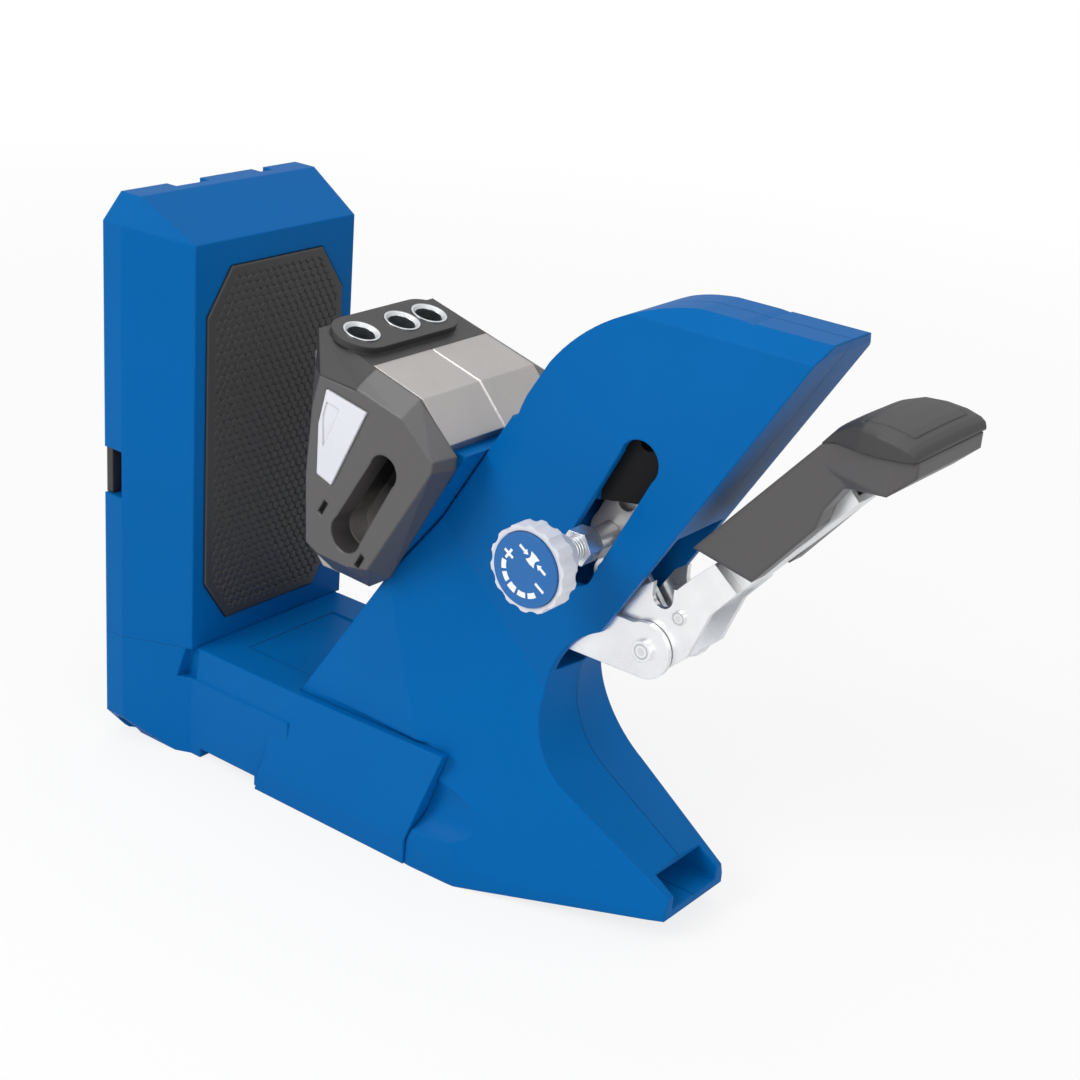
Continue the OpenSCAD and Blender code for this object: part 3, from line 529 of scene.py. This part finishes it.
def pad_half_width(z, cut_width, cut_height):
    """Half width of the eight-sided pad at a height: full, less the cut corners near both ends."""
    to_end = np.minimum(z - PAD_LOW[2], PAD_HIGH[2] - z)
    return PAD_HIGH[1] - cut_width * np.clip(1 - to_end / cut_height, 0, 1)


def honeycomb(y, z, cell):
    """Distance from the nearest edge of a honeycomb of that cell size: the smaller of two
    interleaved rectangular lattices gives the nearest centre, and the hexagon's norm about it
    is taken from the cell's half width."""
    step = np.array([cell, cell * math.sqrt(3)])
    q = np.stack([y, z], -1)
    a = np.mod(q, step) - step / 2
    b = np.mod(q - step / 2, step) - step / 2
    nearest = np.where((a ** 2).sum(-1, keepdims=True) < (b ** 2).sum(-1, keepdims=True), a, b)
    nearest = np.abs(nearest)
    reach = np.maximum(nearest[..., 0], nearest[..., 0] / 2 + nearest[..., 1] * math.sqrt(3) / 2)
    return cell / 2 - reach


class JIG_OT_grip_pad(bpy.types.Operator):
    """Rubber pad of the fixed jaw: an eight-sided plate whose face is a height field, low in
    the grooves of a honeycomb, level in a plain border and rounded at the rim"""
    bl_idname = "jig.grip_pad"
    bl_label = "Grip pad"

    def execute(self, context):
        sizes = context.scene.jig_sizes
        slant = 0.85
        fade, flank = 0.4 * MM, 0.5 * MM
        round_width, round_depth = 0.8 * MM, 0.5 * MM
        rows, columns = PAD_GRID
        u = np.linspace(-1, 1, columns)[None, :]
        z = np.linspace(PAD_LOW[2], PAD_HIGH[2], rows)[:, None] + 0 * u
        half = pad_half_width(z, sizes.cut_width, sizes.cut_height)
        y = u * half
        to_side = half - np.abs(y)
        to_end = np.minimum(z - PAD_LOW[2], PAD_HIGH[2] - z)
        inside = np.clip((np.minimum(to_side * slant, to_end) - sizes.border) / fade, 0, 1)
        edge = np.clip(honeycomb(y, z, sizes.cell) / flank, 0, 1)
        groove = (1 - edge * edge * (3 - 2 * edge)) * inside
        rounding = round_depth * (1 - np.clip(np.minimum(to_side, to_end) / round_width, 0, 1)) ** 2
        x = PAD_HIGH[0] - sizes.groove * groove - rounding
        face = np.stack([x, y, z], -1).reshape(-1, 3)
        points, faces = self.backed(face, rows, columns)
        rubber = soft_rubber("pad rubber", context.scene.jig_colours.rubber, sizes.edge / 3)
        piece = new_piece("grip_pad_face", points, faces, rubber, "frame")
        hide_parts("jaw_grip_pad")
        return {"FINISHED"}

    def backed(self, face, rows, columns):
        """Closes the face's grid with walls from its rim to a flat back."""
        count = rows * columns
        rim = np.concatenate([
            np.arange(columns),
            columns * np.arange(2, rows) - 1,
            np.arange(count - 1, count - columns - 1, -1),
            columns * np.arange(rows - 2, 0, -1),
        ])
        back = face[rim] * [0, 1, 1] + [PAD_LOW[0], 0, 0]
        behind = count + np.arange(len(rim))
        walls = np.stack([rim, behind, np.roll(behind, -1), np.roll(rim, -1)], -1)
        faces = np.concatenate([grid_faces(rows, columns), walls]).tolist()
        return np.concatenate([face, back]), faces + [behind[::-1].tolist()]


class JIG_OT_handle_top(bpy.types.Operator):
    """Soft handle top: a superellipse section carried along X, its floor on the handle body's
    seam, its floor, top and width eased between stations, round above and square below"""
    bl_idname = "jig.handle_top"
    bl_label = "Handle top"

    def execute(self, context):
        crowding = 1.6
        round_power, square_power = 2 / 5, 2 / 40
        crown_height = 0.5
        rows, columns = TOP_GRID
        seam_end = np.array([SEAM_X, SEAM_Z, SEAM_Z, 0]) / MM
        station, floor, top, width = (STATIONS + seam_end).T
        s = np.linspace(0, 1, rows)
        x = station[0] + (station[-1] - station[0]) * (1 - (1 - s) ** crowding)
        low, high, half = (np.interp(x, station, v)[:, None] for v in (floor, top, width))
        t = np.linspace(0, 2 * math.pi, columns, endpoint=False)[None, :]
        cosine, sine = np.cos(t), np.sin(t)
        power = np.where(sine > 0, round_power, square_power)
        y = half * np.sign(cosine) * np.abs(cosine) ** power
        lift = np.sign(sine) * np.abs(sine) ** power
        crown = crown_height * (1 - (y / half) ** 2) * (lift > 0)
        z = (low + high) / 2 + (high - low) / 2 * lift + crown
        points = np.stack([x[:, None] + 0 * t, y, z], -1) * MM
        faces = grid_faces(rows, columns, closed=True)[:, ::-1].tolist()
        first = np.arange(columns)
        last = first + (rows - 1) * columns
        faces += [first.tolist(), last[::-1].tolist()]
        colours, sizes = context.scene.jig_colours, context.scene.jig_sizes
        rubber = soft_rubber("handle rubber", colours.rubber, sizes.edge, PANEL)
        piece = new_piece("handle_soft_top", points, faces, rubber, "lever", True)
        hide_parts("handle_grip")
        return {"FINISHED"}


def dial_plates(outlines, height):
    """Thin raised plates on the dial: each outline, in mm about the knob's axis as seen from the
    front, stands on the dial's face and is carried outwards by the height."""
    points, faces, start = [], [], 0
    for outline in outlines:
        flat = np.array(outline) * MM
        n = len(flat)
        across, up = flat.T
        ring = np.stack([DIAL_MIDDLE[0] + across, np.full(n, DIAL_LOW[1]), DIAL_MIDDLE[2] + up], -1)
        points += [ring + [0, -height, 0], ring + [0, height / 2, 0]]
        raised = start + np.arange(n)
        sunk = raised + n
        walls = np.stack([raised, sunk, np.roll(sunk, -1), np.roll(raised, -1)], -1)
        faces += [raised.tolist(), sunk[::-1].tolist(), *walls.tolist()]
        start += 2 * n
    return np.concatenate(points), faces


def turned_outline(corners, degrees, place):
    """An outline turned by an angle and moved to a place."""
    a = math.radians(degrees)
    turn = np.array([[math.cos(a), -math.sin(a)], [math.sin(a), math.cos(a)]])
    return np.array(corners) @ turn.T + place


def arc_outline(radius, width, middle, span):
    """A piece of a ring about an angle in degrees."""
    a = np.radians(np.linspace(middle - span / 2, middle + span / 2, 9))
    rim = np.stack([np.cos(a), np.sin(a)], -1)
    return np.concatenate([rim * (radius + width / 2), rim[::-1] * (radius - width / 2)])


class JIG_OT_dial_print(bpy.types.Operator):
    """Print on the knob's dial: plus and minus signs, dashes from one to the other along a circle,
    and two arrows that press on a waisted block. All lengths are in mm"""
    bl_idname = "jig.dial_print"
    bl_label = "Dial print"

    def execute(self, context):
        outlines = self.signs() + self.dashes()
        points, faces = dial_plates(outlines, context.scene.jig_sizes.print_height)
        ink = printed("dial ink", context.scene.jig_colours.print_white)
        new_piece("dial_print", points, faces, ink, "knob")
        return {"FINISHED"}

    def signs(self):
        """Plus, minus, and the block between its arrows, all leaning alike."""
        lean = -33
        a, b = 2.0, 0.45
        neck, barb, tail = -1.5, 1.15, -4.2
        plus = [[-b, -a], [b, -a], [b, -b], [a, -b], [a, b], [b, b],
                [b, a], [-b, a], [-b, b], [-a, b], [-a, -b], [-b, -b]]
        minus = [[-a, -b], [a, -b], [a, b], [-a, b]]
        arrow = [[0, 0], [neck, barb], [neck, b], [tail, b], [tail, -b], [neck, -b], [neck, -barb]]
        flank = np.array([[2.0, -1.85], [1.35, -0.75], [1.15, 0], [1.35, 0.75], [2.0, 1.85], [0, 2.1]])
        block = np.concatenate([flank, -flank])
        return [
            turned_outline(plus, lean, [-6.6, 3.7]),
            turned_outline(minus, lean, [6.1, -4.1]),
            turned_outline(arrow, lean, [0.9, 5.6]),
            turned_outline(block, lean, [2.7, 4.45]),
            turned_outline(arrow, lean + 180, [4.5, 3.3]),
        ]

    def dashes(self):
        """Five dashes of a ring, of which the middle one is the broadest."""
        radius, span = 8.3, 21
        first, step = -178, 28
        widths = [1.8, 1.8, 2.3, 1.8, 1.8]
        return [arc_outline(radius, width, first + step * i, span) for i, width in enumerate(widths)]


def look(place, back, roll=0.0):
    """World matrix of a lamp or camera at a place: its back points along a direction, and it
    stands level but for a roll in radians."""
    back = np.array(back) / np.linalg.norm(back)
    level = np.cross([0, 0, 1], back)
    level = level / np.linalg.norm(level)
    upright = np.cross(back, level)
    right = math.cos(roll) * level + math.sin(roll) * upright
    up = math.cos(roll) * upright - math.sin(roll) * level
    rows = np.stack([right, up, back, place], -1).tolist()
    return Matrix([*rows, [0, 0, 0, 1]])


class JIG_OT_stage(bpy.types.Operator):
    """Plain pale floor, soft studio lights and the camera"""
    bl_idname = "jig.stage"
    bl_label = "Stage"

    def execute(self, context):
        scene = context.scene
        stage = scene.jig_stage
        scene.view_settings.view_transform = "Standard"
        self.floor(scene)
        self.world(scene, stage.sky)
        for name, (place, size) in LAMPS.items():
            self.lamp(scene, name, place, getattr(stage, name), size)
        self.camera(scene, stage.lens)
        return {"FINISHED"}

    def floor(self, scene):
        """A wide floor that takes shadows near the jig and fades to white with the distance."""
        fade_start, fade_rate = 0.3, 1.2
        near_glow, far_glow = 0.8, 1.0
        corners = np.array([[-1, -1, 0], [1, -1, 0], [1, 1, 0], [-1, 1, 0]]) * FLOOR_HALF
        mesh = bpy.data.meshes.new("floor")
        mesh.from_pydata((corners - [0, 0, FLOOR_DROP]).tolist(), [], [[0, 1, 2, 3]])
        floor = bpy.data.objects.new("floor", mesh)
        scene.collection.objects.link(floor)
        f = Finish("floor")
        f.set(Base_Color=(0.86, 0.86, 0.86), Roughness=0.9)
        _, (x, y, _) = f.place()
        away = (x * x + y * y).root()
        fade = (fade_rate * (away - fade_start)).clamped()
        seen = f.node("LightPath", output="Is Camera Ray")
        glow = f.node("Emission", None, {"Strength": 1.0})
        amount = seen * (near_glow + (far_glow - near_glow) * fade)
        mixed = f.node("MixShader", None, {0: amount, 1: Value(f, f.shader.outputs[0]), 2: glow})
        f.put(f.output.inputs["Surface"], mixed)
        mesh.materials.append(f.material)

    def world(self, scene, strength):
        """White to the camera. As light it is weaker, and brighter overhead than at the horizon."""
        world = bpy.data.worlds.new("studio")
        scene.world = world
        world.use_nodes = True
        tree = world.node_tree
        tree.nodes.clear()

        def node(kind, operation=None, *inputs):
            made = tree.nodes.new("ShaderNode" + kind)
            if operation:
                made.operation = operation
            for socket, value in zip(made.inputs, inputs):
                if hasattr(value, "links"):
                    tree.links.new(value, socket)
                else:
                    socket.default_value = value
            return made

        even, mirrored, lowest = strength * 1.15, 1.0, -0.1
        path = node("LightPath").outputs
        direction = node("SeparateXYZ", None, node("TexCoord").outputs["Generated"])
        slope = node("MapRange", None, direction.outputs["Z"], lowest, 1.0, HORIZON, OVERHEAD).outputs[0]
        light = node("MapRange", None, path["Is Glossy Ray"], 0.0, 1.0, even, mirrored).outputs[0]
        light = node("Math", "MULTIPLY", slope, light).outputs[0]
        seen = node("Math", "MAXIMUM", path["Is Camera Ray"], path["Is Transmission Ray"]).outputs[0]
        level = node("MapRange", None, seen, 0.0, 1.0, light, 1.0).outputs[0]
        background = node("Background", None, (1, 1, 1, 1), level)
        node("OutputWorld", None, background.outputs[0])

    def lamp(self, scene, name, place, power, size):
        light = bpy.data.lights.new(name, "AREA")
        light.energy = power
        light.size = size
        lamp = bpy.data.objects.new(name, light)
        lamp.matrix_world = look(place, np.subtract(place, LAMP_TARGET))
        scene.collection.objects.link(lamp)

    def camera(self, scene, lens):
        azimuth, elevation, roll = np.radians(CAMERA_TURN)
        level = math.cos(elevation)
        back = [math.sin(azimuth) * level, -math.cos(azimuth) * level, math.sin(elevation)]
        data = bpy.data.cameras.new("camera")
        data.lens = lens
        data.sensor_width = SENSOR_MM
        data.clip_end = 50.0
        camera = bpy.data.objects.new("camera", data)
        camera.matrix_world = look(CAMERA_PLACE, back, roll)
        scene.collection.objects.link(camera)
        scene.camera = camera


OPERATORS = [JIG_OT_finishes, JIG_OT_grip_pad, JIG_OT_handle_top, JIG_OT_dial_print, JIG_OT_stage]


class JIG_PT_panel(bpy.types.Panel):
    """Lists the jig's sizes, colours and steps"""
    bl_idname = "JIG_PT_panel"
    bl_label = "Pocket hole jig"
    bl_space_type = "VIEW_3D"
    bl_region_type = "UI"
    bl_category = "Jig"

    def draw(self, context):
        for group in (context.scene.jig_colours, context.scene.jig_sizes, context.scene.jig_stage):
            for key in group.__annotations__:
                self.layout.prop(group, key)
        for operator in OPERATORS:
            self.layout.operator(operator.bl_idname)


GROUPS = {"jig_colours": JigColours, "jig_sizes": JigSizes, "jig_stage": JigStage}


def register():
    for cls in [*GROUPS.values(), *OPERATORS, JIG_PT_panel]:
        bpy.utils.register_class(cls)
    for key, cls in GROUPS.items():
        setattr(bpy.types.Scene, key, bpy.props.PointerProperty(type=cls))


def unregister():
    for key in GROUPS:
        delattr(bpy.types.Scene, key)
    for cls in [JIG_PT_panel, *OPERATORS[::-1], *GROUPS.values()]:
        bpy.utils.unregister_class(cls)


def main():
    register()
    bpy.ops.jig.finishes()
    bpy.ops.jig.grip_pad()
    bpy.ops.jig.handle_top()
    bpy.ops.jig.dial_print()
    bpy.ops.jig.stage()


if __name__ == "__main__":
    main()
